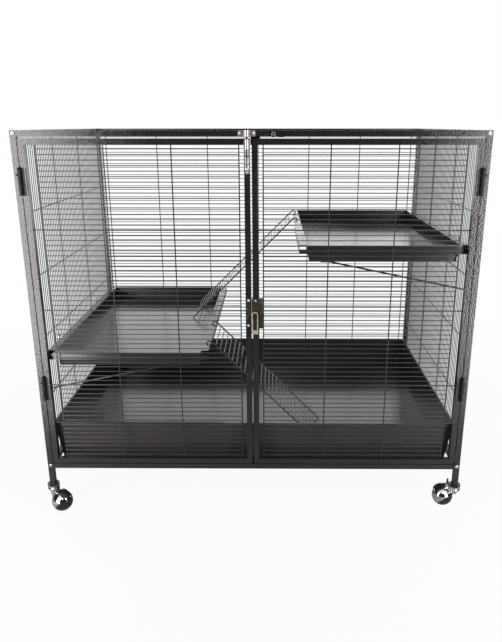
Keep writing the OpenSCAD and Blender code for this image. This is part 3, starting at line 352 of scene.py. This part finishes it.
# The lever's raised rim and its tail are bright, its sunk face dark and narrower below its bowl
def leverPlate(name, look):
    g = newMaterial(name)
    low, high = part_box("lock_lever")
    across, height = g.axis("X"), g.axis("Z")
    middle = (low[0] + high[0]) / 2
    half = (high[0] - low[0]) / 2 - look["rim"]
    face = g.axis("Y").near(low[1] + look["sunk"], look["sunk"] / 4)
    bowl = height.near(high[2], look["bowl"])
    neck = across.near(middle, half - look["neck"])
    wide = across.near(middle, half) * bowl + neck * (1 - bowl)
    above = height.near(high[2], high[2] - low[2] - look["tail"])
    dark = face * wide * above
    wear = g.clamp(g.noise(**look["wear"]), *look["wearRange"])
    smooth, rough = look["roughness"]
    bright = look["bright"]
    plate = g.blend(wear, grey(bright, look["warm"]), grey(bright / 2, look["wornWarm"]))
    return g.surface(g.shader(
        Base_Color=g.blend(dark, plate, grey(look["dark"], look["darkWarm"])),
        Metallic=look["metal"],
        Roughness=wear * (rough - smooth) + smooth + dark * look["darkRoughness"]))


coat = hammeredCoat("hammeredCoat", hammered)
wireCoat = hammeredCoat("wireCoat", wireLook)
panEnamel = blackEnamel("panEnamel", enamel)
trayEnamel = blackEnamel("trayEnamel", trayLook)
chromePlate = brightPlate("chromePlate", plating)
zincPlate = brightPlate("zincPlate", zinc)
nickelPlate = brightPlate("nickelPlate", nickel)
rodPlate = brightPlate("rodPlate", rodSteel)
dullPlate = brightPlate("dullPlate", dullZinc)
paintedScrews = screwPlate("paintedScrews", screwLook, blackPaint)
hingePaint = hingeFinish("hingePaint", hingeLook, blackPaint, hammered)
mouldedBlack = satinBlack("mouldedBlack", moulded)
ballBlack = satinBlack("ballBlack", ballLook)
lockPlate = antiquePlate("lockPlate", antique)
leverFinish = leverPlate("leverFinish", leverLook)

# The finish of each material slot, then of the parts that differ from their slot's
finishes = {
    "powder_coat": coat, "black_enamel": panEnamel, "bright_screws": zincPlate,
    "black_hardware": hingePaint, "chrome_hardware": chromePlate, "lock_finish": lockPlate,
    "button_plastic": mouldedBlack, "black_plastic": mouldedBlack, "caster_ball": ballBlack}
special = {
    "tray": trayEnamel, "frame_screws": paintedScrews, "door_left_screws": paintedScrews,
    "door_right_screws": paintedScrews, "lock_lever": leverFinish, "bolt_body": nickelPlate,
    "bolt_rod": rodPlate, "bolt_keeper": nickelPlate, "turn_button_screw": dullPlate}
wired = ("mesh", "ladder")
slotOf = {part["node"]: part["material_slot"] for part in frame["record"]["subparts"]}

# Width of the rounded edges by material slot; wires and the braces' rods are round already
edges = {"powder_coat": 0.0004, "black_enamel": 0.0004, "black_hardware": 0.0003,
         "lock_finish": 0.0005, "chrome_hardware": 0.0003, "button_plastic": 0.0005,
         "black_plastic": 0.0006}
rounding = {"segments": 2, "sharpest": 40}


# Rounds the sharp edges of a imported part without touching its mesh
def softenEdges(piece, width):
    bevel = piece.modifiers.new("softEdges", "BEVEL")
    bevel.width = width
    bevel.segments = rounding["segments"]
    bevel.limit_method = "ANGLE"
    bevel.angle_limit = math.radians(rounding["sharpest"])
    bevel.harden_normals = True


for name, piece in nodes.items():
    slot = slotOf[name]
    isWire = any(word in name for word in wired)
    material = wireCoat if isWire else special.get(name, finishes[slot])
    if not piece.material_slots:
        piece.data.materials.append(material)
    for place in piece.material_slots:
        place.material = material
    if slot in edges and not isWire and "brace" not in name:
        softenEdges(piece, edges[slot])
print("finishes on:", len(nodes), "packed parts")


# Two rivets in each pan's front wall: places across, depth below the rim, the wall behind the mouth
rivets = {"radius": 0.0016, "proud": 0.0009, "below": 0.0265, "wallIn": 0.0048, "mouth": -0.298,
          "panPairs": {"shelf_upper": (0.1437, 0.1518), "shelf_lower": (-0.1568, -0.1492)}}
headFacets = {"u_segments": 20, "v_segments": 10}


# A low round head whose flat back sits on a wall that faces the front
def rivetHead(name, at, radius, proud, material, body):
    shape = bmesh.new()
    bmesh.ops.create_uvsphere(shape, radius=1.0, **headFacets)
    flatten = Matrix.Diagonal((radius, proud, radius, 1.0))
    bmesh.ops.transform(shape, matrix=flatten, verts=shape.verts)
    for face in shape.faces:
        face.smooth = True
    mesh = bpy.data.meshes.new(name)
    shape.to_mesh(mesh)
    shape.free()
    mesh.materials.append(material)
    head = bpy.data.objects.new(name, mesh)
    head.location = at
    bpy.context.scene.collection.objects.link(head)
    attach(head, body)
    return head


for pan, places in rivets["panPairs"].items():
    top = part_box(pan)[1][2]
    for number, x in enumerate(places, 1):
        at = (x, rivets["mouth"] + rivets["wallIn"], top - rivets["below"])
        rivetHead(f"{pan}_rivet_{number}", at, rivets["radius"], rivets["proud"],
                  zincPlate, "frame")

plug = {"x": -0.0521, "radius": 0.0019, "proud": 0.0005}
railLow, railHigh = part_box("rail_top_front")
plugAt = (plug["x"], railLow[1], (railLow[2] + railHigh[2]) / 2)
rivetHead("rail_plug", plugAt, plug["radius"], plug["proud"],
          mouldedBlack, "frame")
print("rivets on: the pans' front walls and the top rail")


# down is in degrees below level, turn in radians
view = {"at": (0.0464, -1.6878, 0.9063), "down": 17.29, "turn": 0.0067, "lens": 35.25,
        "sensor": 36, "shift": -0.0277, "nearest": 0.05}
cameraData = bpy.data.cameras.new("camera")
cameraData.lens = view["lens"]
cameraData.sensor_width = view["sensor"]
cameraData.shift_x = view["shift"]
cameraData.clip_start = view["nearest"]
camera = bpy.data.objects.new("camera", cameraData)
camera.location = view["at"]
camera.rotation_euler = (math.radians(90 - view["down"]), 0, view["turn"])
bpy.context.scene.collection.objects.link(camera)
bpy.context.scene.camera = camera

lamps = {
    "leftBox": {"at": (-0.87, -0.99, 0.68), "aim": (-0.67, 0.0, 0.68), "size": (0.5, 1.3),
                "power": 22, "colour": (1.0, 0.965, 0.955)},
    "rightBox": {"at": (0.945, -0.99, 0.68), "aim": (0.72, 0.0, 0.68), "size": (0.42, 1.3),
                 "power": 21, "colour": (1.0, 0.965, 0.965)},
    "frontSpot": {"at": (0.2, -2.3, 2.3), "aim": (0, 0, 0.6), "size": (0.5, 0.5),
                  "power": 12, "colour": (1.0, 1.0, 1.0)},
    "topBox": {"at": (0, 0.1, 2.9), "aim": (0, 0, 0.4), "size": (2.6, 1.8),
               "power": 26, "colour": (1.0, 1.0, 1.0)},
    "backBox": {"at": (0, 3.2, 1.3), "aim": (0, 0, 0.7), "size": (4.6, 2.4),
                "power": 38, "colour": (0.96, 0.94, 1.0)}}
for name, lamp in lamps.items():
    data = bpy.data.lights.new(name, "AREA")
    data.shape = "RECTANGLE"
    data.size, data.size_y = lamp["size"]
    data.energy = lamp["power"]
    data.color = lamp["colour"]
    light = bpy.data.objects.new(name, data)
    light.location = lamp["at"]
    aim = Vector(lamp["aim"]) - Vector(lamp["at"])
    light.rotation_euler = aim.to_track_quat("-Z", "Y").to_euler()
    light.visible_camera = False
    bpy.context.scene.collection.objects.link(light)

sky = {"toCamera": 1.0, "toObject": 0.42}
world = bpy.data.worlds.new("studio")
bpy.context.scene.world = world
g = Graph(world)
seen = (g.ray("Camera") + g.ray("Glossy") + g.ray("Transmission")).atMost(1.0)
strength = seen * (sky["toCamera"] - sky["toObject"]) + sky["toObject"]
backdrop = g.add("ShaderNodeBackground", {}, {"Color": (1, 1, 1, 1), "Strength": strength})
g.add("ShaderNodeOutputWorld", {}, {"Surface": backdrop})


# A flat stage piece from its corners
def card(name, corners, material):
    mesh = bpy.data.meshes.new(name)
    mesh.from_pydata(corners, [], [range(len(corners))])
    mesh.materials.append(material)
    piece = bpy.data.objects.new(name, mesh)
    bpy.context.scene.collection.objects.link(piece)
    piece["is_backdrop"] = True
    return piece


# near and far: where the floor starts and ends its fade into the backdrop, and the same in gloss
floorLook = {"half": 12.0, "tone": 0.4, "glow": 0.95, "near": 0.6, "far": 1.8,
             "mirrorNear": 2.6, "mirrorFar": 4.0}


# A pale floor that fades into the white backdrop away from the object
def paleFloor(name, look):
    g = newMaterial(name)
    reach = g.add("ShaderNodeVectorMath", {"operation": "LENGTH"}, {0: g.place()}, "Value")
    fade = g.clamp(reach, look["near"], look["far"]) * (1 - look["glow"]) + look["glow"]
    mirrored = g.clamp(reach, look["mirrorNear"], look["mirrorFar"])
    matt = g.add("ShaderNodeBsdfDiffuse", {}, {"Color": grey(look["tone"])})
    glow = g.add("ShaderNodeEmission", {}, {"Color": (1, 1, 1, 1), "Strength": 1.0})
    direct, through = g.ray("Camera") * fade, g.ray("Transmission") * fade
    shown = (direct + g.ray("Glossy") * mirrored + through).atMost(1.0)
    return g.surface(g.add("ShaderNodeMixShader", {}, {0: shown, 1: matt, 2: glow}))


half = floorLook["half"]
floorCorners = [(-half, -half, 0), (half, -half, 0), (half, half, 0), (-half, half, 0)]
card("studioFloor", floorCorners, paleFloor("paleFloor", floorLook))

# Dim cloths round the camera, which only the glosses see
curtains = {"glow": 0.03, "low": 0.02, "high": 2.4, "front": -2.5, "side": 1.9, "back": 1.2}
g = newMaterial("dimCloth")
dimCloth = g.surface(g.add("ShaderNodeEmission", {}, {
    "Color": (1, 1, 1, 1), "Strength": curtains["glow"]}))
side, front, back = curtains["side"], curtains["front"], curtains["back"]
low, high = curtains["low"], curtains["high"]
ends = {"front": [(-side, front), (side, front)], "left": [(-side, back), (-side, front)],
        "right": [(side, front), (side, back)]}
for name, ((x0, y0), (x1, y1)) in ends.items():
    corners = [(x0, y0, low), (x1, y1, low), (x1, y1, high), (x0, y0, high)]
    cloth = card(name + "Curtain", corners, dimCloth)
    cloth.visible_camera = False
bpy.context.scene.view_settings.view_transform = "Standard"
print("studio ready")

low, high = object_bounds()
